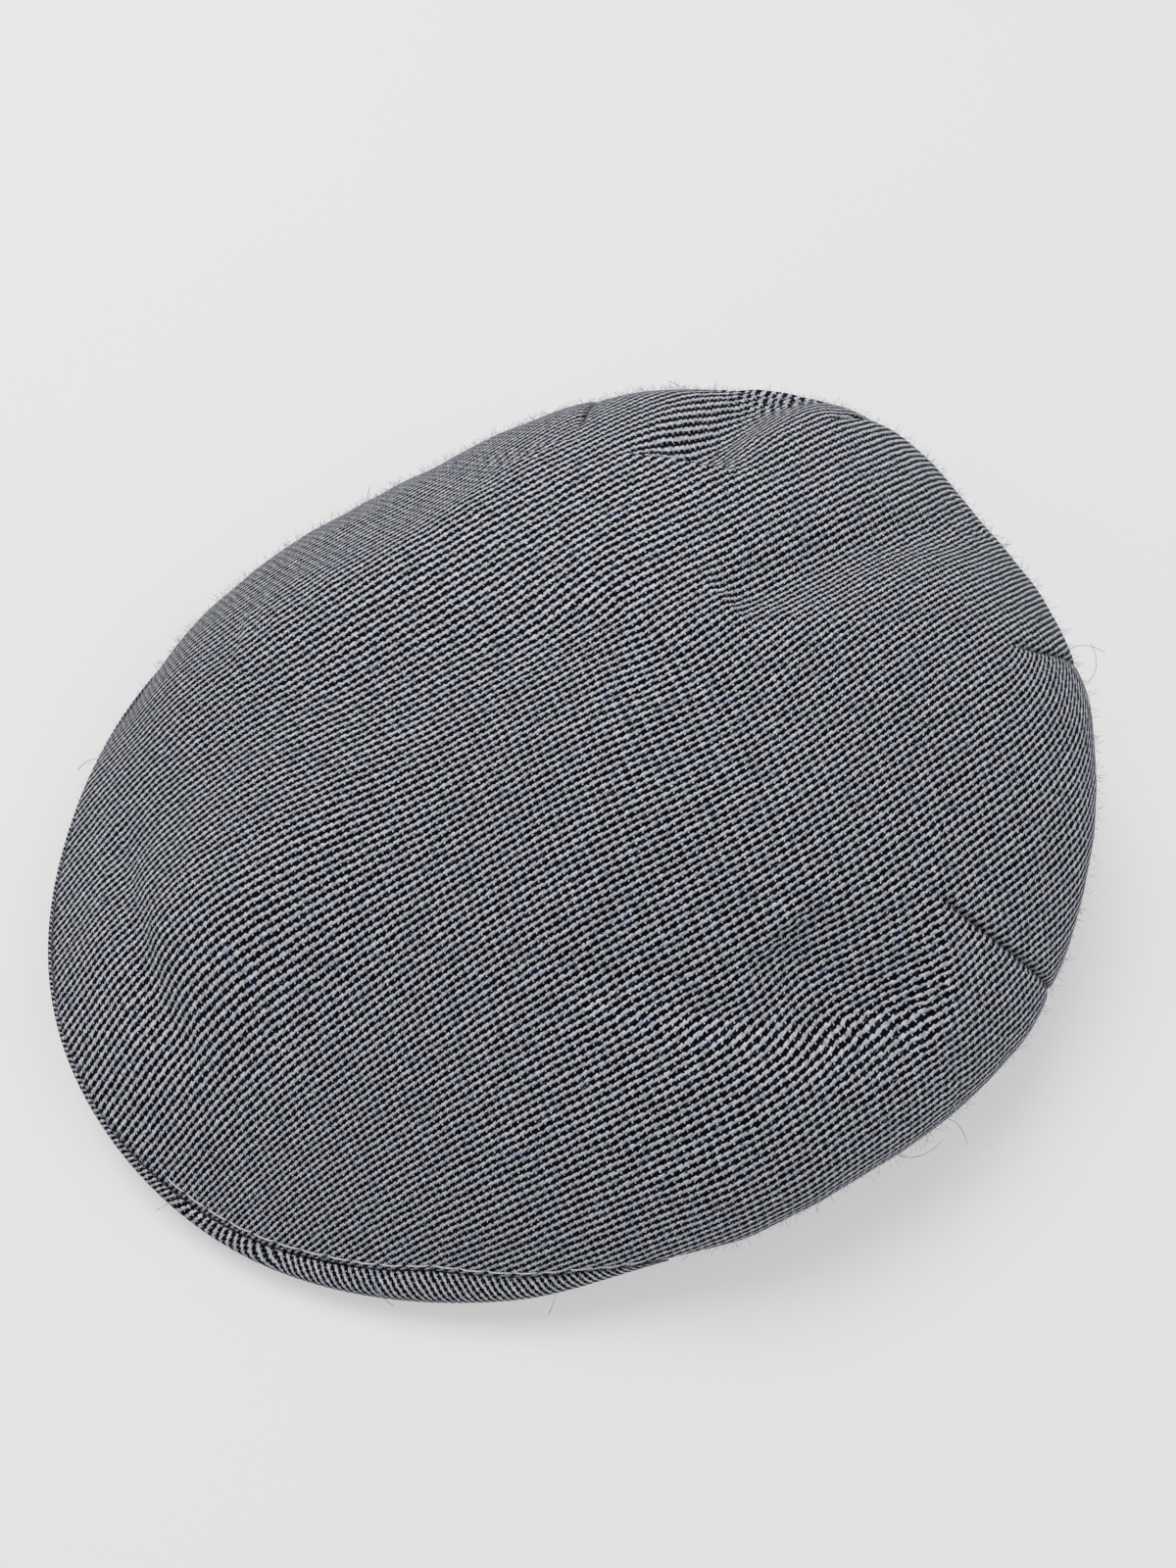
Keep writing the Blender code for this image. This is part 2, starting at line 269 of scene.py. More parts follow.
def makeWeaveGroup(plan):
    group = bpy.data.node_groups.new("toothedRows", "ShaderNodeTree")
    face = group.interface
    face.new_socket("Cloth", in_out="INPUT", socket_type="NodeSocketVector")
    face.new_socket("Row Pitch", in_out="INPUT", socket_type="NodeSocketFloat")
    face.new_socket("Light", in_out="INPUT", socket_type="NodeSocketColor")
    face.new_socket("Dark", in_out="INPUT", socket_type="NodeSocketColor")
    face.new_socket("Colour", in_out="OUTPUT", socket_type="NodeSocketColor")
    face.new_socket("Height", in_out="OUTPUT", socket_type="NodeSocketFloat")
    start = group.nodes.new("NodeGroupInput")
    end = group.nodes.new("NodeGroupOutput")
    bench = NodeBench(group)
    cloth = start.outputs["Cloth"]

    # yarns wander a little, and jitter at their own scale
    moved = cloth
    for scale, reach in (plan["wander"], plan["jitter"]):
        stray = bench.vector("SUBTRACT", bench.noise(cloth, scale, 2, 0.6, colour=True), (0.5, 0.5, 0.5))
        moved = bench.vector("ADD", moved, bench.vector("SCALE", stray, reach))
    split = group.nodes.new("ShaderNodeSeparateXYZ")
    group.links.new(moved, split.inputs[0])
    row = bench.math("DIVIDE", split.outputs["X"], start.outputs["Row Pitch"])
    tooth = bench.math("MULTIPLY", split.outputs["Y"], 2 * math.pi / plan["toothPitch"])

    # a light row is a string of bodies joined by thin necks. above is the height over its middle line
    body = bench.smooth(bench.math("COSINE", tooth), *plan["bodyEdge"])
    bodyHalf = bench.math("MULTIPLY", bench.math("SINE", tooth), plan["bodyRise"])
    bodyHalf = bench.math("ADD", bodyHalf, plan["bodyHalf"] - plan["neckHalf"])
    half = bench.math("ADD", bench.math("MULTIPLY", bodyHalf, body), plan["neckHalf"])
    sink = bench.math("MULTIPLY", bench.math("SUBTRACT", 1.0, body), plan["neckSink"])
    above = bench.math("SUBTRACT", 0.5, bench.math("FRACT", bench.math("SUBTRACT", row, sink)))
    inBody = bench.math("SUBTRACT", half, bench.math("ABSOLUTE", above))

    # and each body drops a spur towards the next row
    turn = bench.math("FRACT", bench.math("ADD", bench.math("DIVIDE", tooth, 2 * math.pi), 0.5))
    aside = bench.math("ABSOLUTE", bench.math("SUBTRACT", turn, 0.5 + plan["spurAt"]))
    inSpur = bench.math("SUBTRACT", plan["spurHalf"], aside)
    inSpur = bench.math("MINIMUM", inSpur, bench.math("ADD", above, plan["spurReach"]))
    inSpur = bench.math("MINIMUM", inSpur, bench.math("SUBTRACT", 0.0, above))
    isLight = bench.smooth(bench.math("MAXIMUM", inBody, inSpur), -plan["softEdge"], plan["softEdge"])

    # the yarns stand up round and the dark ones lie deeper at the necks
    ridge = bench.math("ABSOLUTE", bench.math("COSINE", bench.math("MULTIPLY", row, 2 * math.pi)))
    bead = bench.math("ADD", bench.math("MULTIPLY", body, bench.math("SUBTRACT", isLight, 0.5)), 1.0)
    height = bench.math("MULTIPLY", bench.math("POWER", ridge, 0.7), bead)

    # fibres and uneven dye
    fibre = bench.noise(cloth, plan["fibre"], 2, 0.7)
    blue = bench.math("MULTIPLY", bench.patches(cloth, *plan["patch"]), plan["patchShare"])
    light = bench.mix(blue, start.outputs["Light"], (*plan["blueYarn"], 1))
    dark = bench.mix(bench.patches(cloth, *plan["navyPatch"]), start.outputs["Dark"], (*plan["navyYarn"], 1))
    least, gain = plan["fibreShine"]
    shine = bench.math("ADD", bench.math("MULTIPLY", fibre, gain), least)
    shine = bench.math("MULTIPLY", bench.patches(cloth, *plan["slub"]), shine)
    light = bench.vector("SCALE", light, shine)
    colour = bench.mix(isLight, dark, light)
    group.links.new(colour, end.inputs["Colour"])
    group.links.new(bench.math("ADD", height, bench.math("MULTIPLY", fibre, 0.3)), end.inputs["Height"])
    return group


weaveGroup = makeWeaveGroup(clothPlan)


def makeClothMaterial(name, plan, seamShaded=False):
    cloth, bench, shader = startMaterial(name, plan)
    weave = bench.tree.nodes.new("ShaderNodeGroup")
    weave.node_tree = weaveGroup
    weave.inputs["Row Pitch"].default_value = plan["rowPitch"]
    weave.inputs["Light"].default_value = (*plan["lightYarn"], 1)
    weave.inputs["Dark"].default_value = (*plan["darkYarn"], 1)
    bench.put(bench.clothPlace(), weave.inputs["Cloth"])
    colour = weave.outputs["Colour"]
    # painted shade: the colour is darkened along each dart's seam
    if seamShaded:
        seamShadeMask = bench.tree.nodes.new("ShaderNodeAttribute")
        seamShadeMask.attribute_name = "seamShadeMask"
        keep = bench.math("SUBTRACT", 1, bench.math("MULTIPLY", seamShadeMask.outputs["Fac"], 1 - plan["seamShade"]))
        colour = bench.vector("SCALE", colour, keep)
    bench.put(colour, shader.inputs["Base Color"])
    bench.relief(weave.outputs["Height"], shader, plan)
    shader.inputs["Specular IOR Level"].default_value = plan["specular"]
    shader.inputs["Sheen Roughness"].default_value = plan["sheenRoughness"]
    shader.inputs["Sheen Tint"].default_value = (*plan["sheenColour"], 1)
    return cloth


# The cap's form
# The same sections, strip and folds as the solids, drawn more finely.
formPlan = {
    "length": 0.285,
    "width": 0.241,
    "crest": 0.0935,
    "cloth": 0.002,
    "headLength": 0.200,
    "headWidth": 0.168,
    "headSetback": 0.020,
    "bandThickness": 0.002,
    "gap": 0.0003,
    "footLift": 0.001,
    "crestBack": 0.115,     # share of half the length
    "crestTilt": 0.10,
    "crestSpan": 0.38,      # share of the way out from the crest
    "under": 0.55,          # share of the way down from the widest place
    "stripSlope": 0.6,
    "stripFade": 8,         # degrees
    "tuckRun": 20,
    # the crown's sections, one for each angle round
    "columns": ("angle", "reach", "bulge", "shoulder", "fall"),
    "sections": (
        (0, 0.98, 0.175, 0.27, 34),
        (30, 0.98, 0.085, 0.27, 42),
        (60, 0.965, 0.13, 0.24, 68),
        (90, 0.975, 0.27, 0.22, 90),
        (120, 1.02, 0.23, 0.22, 90),
        (150, 0.96, 0.465, 0.24, 90),
        (180, 0.95, 0.455, 0.24, 90),
        (210, 1.06, 0.41, 0.24, 90),
        (240, 1.03, 0.38, 0.22, 90),
        (270, 0.99, 0.24, 0.22, 90),
        (300, 1.03, 0.17, 0.24, 68),
        (330, 1.00, 0.155, 0.27, 32),
    ),
    # angle, and the peak edge's width as a share of half the cap's
    "strip": ((-62, 0.009), (-20, 0.011), (10, 0.014), (30, 0.033), (50, 0.053), (66, 0.030), (74, 0.012)),
    # angle and along at the start, middle and end, then spread and depth, shares of half the width and
    # of the crest
    "folds": (
        (181, 0.86, 174, 0.38, 158, 0.16, 0.075, 0.045),
        (110, 0.08, 5, 0.13, 350, 0.38, 0.090, 0.010),
        (226, 0.38, 222, 0.58, 219, 0.88, 0.095, 0.085),
        (254, 0.60, 285, 0.42, 308, 0.68, 0.130, -0.020),
        (330, 0.88, 358, 0.83, 12, 0.84, 0.050, 0.022),
        (68, 0.58, 86, 0.68, 106, 0.80, 0.050, 0.020),
        (93, 0.54, 99, 0.67, 106, 0.76, 0.110, 0.045),
    ),
}


def smoothStep(share):
    return share * share * (3 - 2 * share)


def lengthAlong(line):
    return np.concatenate([[0], np.cumsum(np.linalg.norm(np.diff(line, axis=0), axis=1))])


def aroundCrown(column, angles):
    # a column of the sections, smoothly interpolated round the crown
    rows = formPlan["sections"]
    at = np.array([row[0] for row in rows], float)
    values = np.array([row[formPlan["columns"].index(column)] for row in rows], float)
    slope = (np.roll(values, -1) - np.roll(values, 1)) / ((np.roll(at, -1) - np.roll(at, 1)) % 360)
    angles = np.asarray(angles, float) % 360
    i = np.searchsorted(at, angles, side="right") - 1
    j = (i + 1) % len(at)
    step = (at[j] - at[i]) % 360
    t = (angles - at[i]) / step
    a = (1 + 2 * t) * (1 - t) ** 2
    b = t * (1 - t) ** 2 * step
    c = t * t * (3 - 2 * t)
    d = t * t * (t - 1) * step
    return a * values[i] + b * slope[i] + c * values[j] + d * slope[j]


def stripWidth(angles):
    rows, fade = formPlan["strip"], formPlan["stripFade"]
    at = [rows[0][0] - fade] + [row[0] for row in rows] + [rows[-1][0] + fade]
    share = [0] + [row[1] for row in rows] + [0]
    wrapped = (np.asarray(angles, float) + 180) % 360 - 180
    return np.interp(wrapped, at, share) * formPlan["width"] / 2


def bezier(p0, p1, p2, p3, count=60):
    t = np.linspace(0, 1, count)[None, :, None]
    p0, p1, p2, p3 = (p[:, None, :] for p in (p0, p1, p2, p3))
    return (1 - t) ** 3 * p0 + 3 * t * (1 - t) ** 2 * p1 + 3 * t * t * (1 - t) * p2 + t ** 3 * p3


def rimLine(angles):
    def raw(degrees):
        turn = np.radians(degrees)
        reach = aroundCrown("reach", degrees)
        return np.stack([reach * np.sin(turn), -reach * np.cos(turn)], 1)
    ring = raw(np.arange(360.0))
    low, high = ring.min(0), ring.max(0)
    size = [formPlan["width"], formPlan["length"]]
    return (raw(np.asarray(angles, float)) - (low + high) / 2) / (high - low) * size


def headLine(angles, outset):
    turn = np.radians(np.asarray(angles, float))
    x = (formPlan["headWidth"] / 2 + outset) * np.sin(turn)
    y = formPlan["headSetback"] - (formPlan["headLength"] / 2 + outset) * np.cos(turn)
    return np.stack([x, y], 1)


def tucks(angles):
    away = np.abs((np.asarray(angles, float) + 180) % 360 - 180)
    return np.sin(np.clip((away - formPlan["strip"][-1][0]) / formPlan["tuckRun"], 0, 1) * math.pi / 2)


def edgeLines(angles):
    rim = rimLine(angles)
    out = rim / np.linalg.norm(rim, axis=1)[:, None]
    width = stripWidth(angles)
    height = aroundCrown("bulge", angles) * formPlan["crest"] + width * formPlan["stripSlope"]
    widest = np.column_stack([rim - out * width[:, None], height])
    clear = formPlan["bandThickness"] + formPlan["gap"] + formPlan["cloth"]
    band = np.column_stack([headLine(angles, clear), np.full(len(rim), formPlan["footLift"])])
    tuck = tucks(angles)[:, None]
    foot = widest + (band - widest) * np.hstack([tuck, tuck, 1 - (1 - tuck) ** 2])
    return widest, foot, np.column_stack([out, np.zeros(len(rim))])


def sectionLines(angles):
    plan = formPlan
    widest, foot, _ = edgeLines(angles)
    shoulder = aroundCrown("shoulder", angles)
    fall = np.radians(aroundCrown("fall", angles))
    top = np.array([0, plan["crestBack"] * plan["length"] / 2, plan["crest"]])
    away = widest[:, :2] - top[:2]
    run = np.linalg.norm(away, axis=1)
    away = away / run[:, None]

    def beside(distance, height):
        return np.column_stack([top[:2] + away * distance[:, None], height])

    flat = plan["crestSpan"] * run
    full = shoulder * run
    start = np.repeat(top[None], len(run), 0)
    over = beside(flat, plan["crest"] + plan["crestTilt"] * away[:, 1] * flat)
    above = beside(run - full * np.cos(fall), widest[:, 2] + full * np.sin(fall))
    upper = bezier(start, over, above, widest)
    drop = plan["under"] * (widest[:, 2] - foot[:, 2])
    below = widest + np.column_stack([away * (drop * np.cos(fall))[:, None], -drop * np.sin(fall)])
    inward = foot + (widest - foot) * [0.5, 0.5, 0]     # halfway in, level with the foot
    return upper, bezier(widest, below, inward, foot)


def divide(line, stations):
    along = lengthAlong(line)
    keep = np.concatenate([[True], np.diff(along) > 0])
    return np.stack([np.interp(stations * along[-1], along[keep], line[keep, axis]) for axis in range(3)], 1)


def place(angle, along):
    upper, _ = sectionLines([angle])
    return divide(upper[0], np.array([along]))[0]


def surfaceNormals(points):
    around = np.roll(points, -1, 0) - np.roll(points, 1, 0)
    down = np.gradient(points, axis=1)
    facing = np.cross(around, -down)
    facing[:, 0] = (0, 0, 1)
    return facing / np.maximum(np.linalg.norm(facing, axis=2), 1e-12)[..., None]


def foldLine(places):
    # points along a fold through three places, each an angle and a share along, and the way along it
    start, middle, end = (place(places[i], places[i + 1]) for i in (0, 2, 4))
    bend = 2 * middle - (start + end) / 2
    share = np.linspace(0, 1, 24)
    at = share[:, None]
    return (1 - at) ** 2 * start + 2 * at * (1 - at) * bend + at * at * end, share


def foldDepth(points):
    depth = np.zeros(points.shape[:2])
    for *places, spread, deep in formPlan["folds"]:
        line, share = foldLine(places)
        away = np.linalg.norm(points[:, :, None] - line, axis=3)
        ends = 1 - (2 * share[away.argmin(2)] - 1) ** 4
        crest = np.exp(-(away.min(2) / (spread * formPlan["width"] / 2)) ** 2)
        depth += deep * formPlan["crest"] * crest * ends
    return depth


# Crown
crownPlan = {
    "columns": 288,
    "upperRows": 96,
    "lowerRows": 26,
    # foot angle, lean to its upper end in degrees, start along
    "darts": ((121, -7, 0.58), (157, -4.5, 0.66), (203, 4.5, 0.66), (239, 7, 0.58)),
    "dartDepth": 0.0011,
    "dartWidth": 0.0009,
    "dartSoftDepth": 0.0004,
    "dartSoftWidth": 0.007,
    "dartStart": 0.10,      # share along over which a dart deepens
    "dartPull": 16,         # degrees over which the columns bend towards a dart
    "dartColumns": (0.35, 12),  # degrees between the close columns, and how many on each side
    "dartClear": 4.6,       # degrees beside a dart without even columns
    # how wide the painted shade along a dart's seam is (m)
    "seamShadeWidth": 0.0007,
    "crumple": 0.0007,
    "crumpleScales": (38, 90),
    "crumpleFrom": 0.15,    # share along before which the crumples fade out
    # sharp creases: angle and along at the start, middle and end, then how wide the cloth slopes
    # towards the top and towards the edge, and the depth, in metres
    "creases": (
        (58, 0.50, 84, 0.628, 109, 0.775, 0.0280, 0.0085, 0.0046),
    ),
    # rows of the weave lean from the straight: distance back (m), lean on the wearer's right, on the left
    "rowLean": (
        (-0.150, -15, -6),
        (-0.113, 14, -1),
        (-0.075, 28, -4),
        (-0.038, 20, -8),
        (0.000, 2, -12),
        (0.037, -15, -8),
        (0.075, -20, -8),
        (0.112, -24, -10),
    ),
    # how wide a row is: place across (m), share of the row pitch
    "rowWidth": ((-0.15, 1.2), (-0.10, 1.35), (-0.06, 1.55), (-0.02, 1.46), (0.0, 1.25), (0.02, 1.08),
                 (0.04, 1.0), (0.06, 0.97), (0.10, 1.0), (0.13, 1.1)),
    # most turn of the cloth between two darts in degrees, and the darts' angles. it grows from one
    # share along, over a run
    "panelTurns": ((30, 121, 157), (-12, 203, 239)),
    "panelFrom": 0.66,
    "panelRun": 0.45,
    # places across (m) between which the right's lean changes to the left's, and the distance back at
    # which neither has moved a row
    "leanRight": -0.045,
    "leanLeft": 0.075,
    "leanFrom": -0.050,
}


def dartCentre(dart, along):
    # angle of a dart's line at a place along the section
    foot, lean, start = dart
    back = np.clip((1 - along) / (1 - start), 0, 1)
    return foot + lean * back


def creaseDepth(plan, points, along):
    # a crease falls gently from the side of the top and sharply from the side of the edge
    depth = np.zeros(points.shape[:2])
    for *places, gentle, sharp, deep in plan["creases"]:
        line, share = foldLine(places)
        first, middle, last = places[1::2]
        control = 2 * middle - (first + last) / 2
        lineAlong = (1 - share) ** 2 * first + 2 * share * (1 - share) * control + share ** 2 * last
        away = np.linalg.norm(points[:, :, None] - line, axis=3)
        nearest = away.argmin(2)
        away = away.min(2)
        ends = 1 - (2 * share[nearest] - 1) ** 4
        wall = np.clip(1 - away / sharp, 0, 1)
        fall = np.where(along[None, :] < lineAlong[nearest], np.exp(-(away / gentle) ** 2), smoothStep(wall))
        depth += deep * fall * ends
    return depth


def columnAngles(plan):
    # even steps round the crown, drawn close together at each dart
    angles = [i * 360 / plan["columns"] for i in range(plan["columns"])]
    step, many = plan["dartColumns"]
    near = [step * k for k in range(-many, many + 1)]
    for dart in plan["darts"]:
        angles = [a for a in angles if abs(a - dart[0]) > plan["dartClear"]]
        angles += [dart[0] + a for a in near]
    return np.array(sorted(angles))


def clothPlace(angle, radius):
    # where a point of the crown lay in the flat cloth, in metres
    plan = crownPlan
    across = radius * np.sin(np.radians(angle))
    back = -radius * np.cos(np.radians(angle))
    at = np.array([row[0] for row in plan["rowLean"]])
    fine = np.linspace(-0.2, 0.2, 401)
    shift = []
    for column in (1, 2):
        lean = np.interp(fine, at, [row[column] for row in plan["rowLean"]])
        total = np.cumsum(np.tan(np.radians(lean))) * (fine[1] - fine[0])
        total -= np.interp(plan["leanFrom"], fine, total)
        shift.append(np.interp(back, fine, total))
    blend = (across - plan["leanRight"]) / (plan["leanLeft"] - plan["leanRight"])
    left = smoothStep(np.clip(blend, 0, 1))
    across = across - (shift[0] * (1 - left) + shift[1] * left)
    # rows keep one width in the picture although the top turns away from it
    spots, widths = np.array(plan["rowWidth"]).T
    total = np.cumsum(1 / np.interp(fine, spots, widths)) * (fine[1] - fine[0])
    return np.interp(across, fine, total - np.interp(0, fine, total)), back


def crownGrid(plan):
    # outer face of the crown: points, the cloth map on each side of every column, and the mask of painted
    # shade along the darts' seams
    dense = np.arange(0, 360, 0.5)
    upper, lower = sectionLines(dense)
    topRows = np.linspace(0, 1, plan["upperRows"])
    footRows = np.linspace(0, 1, plan["lowerRows"] + 1)[1:]
    points = np.array([
        np.concatenate([divide(upper[i], topRows), divide(lower[i], footRows)]) for i in range(len(dense))
    ])
    along = np.concatenate([topRows, 1 + footRows])
    creased = surfaceNormals(points) * creaseDepth(plan, points, along)[..., None]
    points -= surfaceNormals(points) * foldDepth(points)[..., None]
    smooth, points = points, points - creased

    # columns bend so that one follows each dart's slanting line
    base = columnAngles(plan)
    turned = np.repeat(base[:, None], len(along), 1)
    for dart in plan["darts"]:
        near = smoothStep(np.clip(1 - np.abs(base - dart[0]) / plan["dartPull"], 0, 1))
        turned += near[:, None] * (dartCentre(dart, along) - dart[0])[None, :]
    wrap = np.concatenate([dense, [360.0]])
    bent = np.empty((len(base), len(along), 3))
    cloth = np.empty_like(bent)
    for grid, source in ((bent, points), (cloth, smooth)):
        closed = np.concatenate([source, source[:1]])
        for j in range(len(along)):
            for axis in range(3):
                grid[:, j, axis] = np.interp(turned[:, j] % 360, wrap, closed[:, j, axis])

    # darts: a thin groove in a soft hollow
    face = surfaceNormals(bent)
    depth = np.zeros(bent.shape[:2])
    seamShadeMask = np.zeros(bent.shape[:2])
    for dart in plan["darts"]:
        away = np.radians(np.abs(base - dart[0]))[:, None] * np.linalg.norm(bent[..., :2], axis=2)
        run = smoothStep(np.clip((along - dart[2]) / plan["dartStart"], 0, 1))
        depth += plan["dartDepth"] * np.exp(-(away / plan["dartWidth"]) ** 1.3) * run
        depth += plan["dartSoftDepth"] * np.exp(-(away / plan["dartSoftWidth"]) ** 2) * run
        # the mask of painted shade along each dart's seam
        seamShadeMask = np.maximum(seamShadeMask, np.exp(-(away / plan["seamShadeWidth"]) ** 2) * run)
    coarse, fine = plan["crumpleScales"]
    crumple = np.array([
        [noise.noise(Vector(p) * coarse) + 0.5 * noise.noise(Vector(p) * fine) for p in column]
        for column in bent
    ])
    depth += crumple * plan["crumple"] * np.clip(along / plan["crumpleFrom"], 0, 1)
    bent -= face * depth[..., None]
    overPeak = tucks(base) == 0
    rim = plan["upperRows"] - 1
    bent[overPeak, rim + 1:] = bent[overPeak, rim, None]

    # the cloth's own measure, which creases and crumples leave alone
    radius = np.concatenate([
        np.zeros((len(base), 1)), np.cumsum(np.linalg.norm(np.diff(cloth, axis=1), axis=2), axis=1)], 1)
    return base, along, turned, bent, radius, seamShadeMask


def panelTurn(plan, base, along, ahead):
    # extra turn of the cloth beside the rear darts, in degrees. ahead picks the side of a dart's own column
    turn = np.zeros((len(base), len(along)))
    grow = np.clip((along - plan["panelFrom"]) / plan["panelRun"], 0, 1)
    for most, low, high in plan["panelTurns"]:
        beside = base + (1e-6 if ahead else -1e-6)
        share = np.clip((beside - low) / (high - low), 0, 1)
        share = share if most > 0 else 1 - share
        inside = (beside > low) & (beside < high)
        turn -= (most * inside * share ** 2)[:, None] * grow[None, :] ** 1.5
    return turn


def addMesh(name, points, faces, maps, material, seamShadeMask=None):
    # a smooth mesh object with the cloth map, one pair of values for each corner
    mesh = bpy.data.meshes.new(name)
    mesh.from_pydata([tuple(p) for p in points], [], [tuple(f) for f in faces])
    layer = mesh.uv_layers.new(name="cloth")
    layer.data.foreach_set("uv", np.asarray(maps, np.float32).ravel())
    if seamShadeMask is not None:
        mark = mesh.attributes.new("seamShadeMask", "FLOAT", "POINT")
        mark.data.foreach_set("value", np.asarray(seamShadeMask, np.float32))
    mesh.materials.append(material)
    mesh.shade_smooth()
    piece = bpy.data.objects.new(name, mesh)
    bpy.context.scene.collection.objects.link(piece)
    return piece


def faceOutward(piece):
    shell = bmesh.new()
    shell.from_mesh(piece.data)
    bmesh.ops.recalc_face_normals(shell, faces=shell.faces)
    shell.to_mesh(piece.data)
    shell.free()


def mergeDoubles(piece, distance=0.00001):
    shell = bmesh.new()
    shell.from_mesh(piece.data)
    bmesh.ops.remove_doubles(shell, verts=shell.verts, dist=distance)
    bmesh.ops.dissolve_degenerate(shell, edges=shell.edges, dist=distance)
    shell.to_mesh(piece.data)
    shell.free()


def applyModifier(piece, kind, **settings):
    step = piece.modifiers.new(kind.lower(), kind)
    for key, value in settings.items():
        setattr(step, key, value)
    bpy.ops.object.select_all(action="DESELECT")
    bpy.context.view_layer.objects.active = piece
    piece.select_set(True)
    bpy.ops.object.modifier_apply(modifier=step.name)


def makeCrown(plan, material):
    base, along, turned, points, radius, seamShadeMask = crownGrid(plan)
    count, rows = points.shape[:2]
    vertices = [points[0, 0]] + [points[i, j] for j in range(1, rows) for i in range(count)]
    marks = [0.0] + [seamShadeMask[i, j] for j in range(1, rows) for i in range(count)]

    def index(column, row):
        return 1 + (row - 1) * count + column % count

    sides = [np.stack(clothPlace(turned + panelTurn(plan, base, along, ahead), radius), 2)
             for ahead in (True, False)]
    faces, maps = [], []
    for i in range(count):
        n = (i + 1) % count
        faces.append((0, index(i, 1), index(n, 1)))
        maps += [sides[0][i, 0], sides[0][i, 1], sides[1][n, 1]]
        for j in range(1, rows - 1):
            faces.append((index(i, j), index(i, j + 1), index(n, j + 1), index(n, j)))
            maps += [sides[0][i, j], sides[0][i, j + 1], sides[1][n, j + 1], sides[1][n, j]]
    crown = addMesh("crown_cloth", vertices, faces, maps, material, marks)
    mergeDoubles(crown)
    applyModifier(crown, "SOLIDIFY", thickness=formPlan["cloth"], offset=-1,
                  use_even_offset=True, use_rim=True)
    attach(crown, "root")
    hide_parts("crown")
    print("crown:", len(crown.data.polygons), "faces")
    return turned, along, points


wool = makeClothMaterial("woolTwill", clothPlan, seamShaded=True)
crownFace = makeCrown(crownPlan, wool)


# Peak edge
edgePlan = {
    "step": 0.75,           # degrees between sections
    "drop": 0.0045,         # the strip's depth below the crown's edge
    "taper": 16,            # degrees over which it thins out at each end
    "under": 0.002,         # how far the strip reaches in under the crown's edge
    "thinnest": 0.1,        # size at the ends
    "shallowest": 0.2,      # least share of the drop
    "roundSteps": 6,
    "widestAt": 0.4,        # share of the drop
    "bottom": 0.45,         # share of the width
    "sliver": 0.0004,
    # rows against the edge: like the crown's up to 20 degrees round, leaning the other way past 34
    "rowAngle": (20, 34, 118, 52),
    "finer": 1.35,          # the strip's own cloth is closer woven than the pitch says
}


def addLoft(name, sections, maps, material):
    # a closed solid through closed sections of equal count. maps holds the cloth map of every point
    count, sides = len(sections), len(sections[0])
    faces, corners = [tuple(reversed(range(sides)))], [maps[0][k] for k in reversed(range(sides))]
    last = (count - 1) * sides
    for i in range(count - 1):
        for k in range(sides):
            n = (k + 1) % sides
            faces.append((i * sides + k, i * sides + n, (i + 1) * sides + n, (i + 1) * sides + k))
            corners += [maps[i][k], maps[i][n], maps[i + 1][n], maps[i + 1][k]]
    faces.append(tuple(last + k for k in range(sides)))
    corners += [maps[-1][k] for k in range(sides)]
    piece = addMesh(name, np.concatenate(sections), faces, corners, material)
    faceOutward(piece)
    return piece


def makePeakEdge(plan, material):
    strip = formPlan["strip"]
    angles = np.arange(strip[0][0], strip[-1][0] + 0.01, plan["step"])
    edge, _, out = edgeLines(angles)
    width = stripWidth(angles)
    flange = formPlan["cloth"] + formPlan["gap"]
    length = lengthAlong(edge)
    toEnd = np.minimum(angles - angles[0], angles[-1] - angles) / plan["taper"]
    size = plan["thinnest"] + (1 - plan["thinnest"]) * np.sin(np.clip(toEnd, 0, 1) * math.pi / 2)
    drop = plan["drop"] * np.clip(width / width.max(), plan["shallowest"], 1)
    roll = np.linspace(0, math.pi / 2, plan["roundSteps"])
    waist, bottom = plan["widestAt"], plan["bottom"]
    first, second, like, other = plan["rowAngle"]
    length -= np.interp((first + second) / 2, angles, length)
    leans = np.radians(np.interp(angles, (first, second), (like, other)))
    sections, maps = [], []
    for i in range(len(angles)):
        wide = width[i]
        fall = wide * formPlan["stripSlope"]
        over = np.stack([formPlan["gap"] + (wide - formPlan["gap"]) * np.sin(roll),
                         -(fall + drop[i] * waist) * (1 - np.cos(roll))], 1)
        below = np.stack([wide * (bottom + (1 - bottom) * np.cos(roll[1:])),
                          -fall - drop[i] * (waist + (1 - waist) * np.sin(roll[1:]))], 1)
        profile = np.concatenate([
            [(-plan["under"], -flange), (formPlan["gap"], -flange)], over, below,
            [(-plan["under"], -max(fall + drop[i], flange + plan["sliver"]))]])
        girth = lengthAlong(profile)
        profile *= size[i]
        sections.append(edge[i] + profile[:, :1] * out[i] + profile[:, 1:] * [0, 0, 1])
        lean = leans[i]
        maps.append(plan["finer"] * np.stack([length[i] * math.sin(lean) - girth * math.cos(lean),
                                              length[i] * math.cos(lean) + girth * math.sin(lean)], 1))
    piece = addLoft("peak_edge_strip", sections, maps, material)
    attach(piece, "root")
    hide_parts("peak_edge")


plainWool = makeClothMaterial("edgeTwill", clothPlan)
makePeakEdge(edgePlan, plainWool)


# Peak
peakPlan = {
    "thickness": 0.0035,
    "root": 0.0045,         # height of its underside at the band
    "tip": 0.004,           # it ends where it would reach out less than this
    "rows": 14,
    "reach": 120,           # degrees round on each side
    "step": 1.5,
}


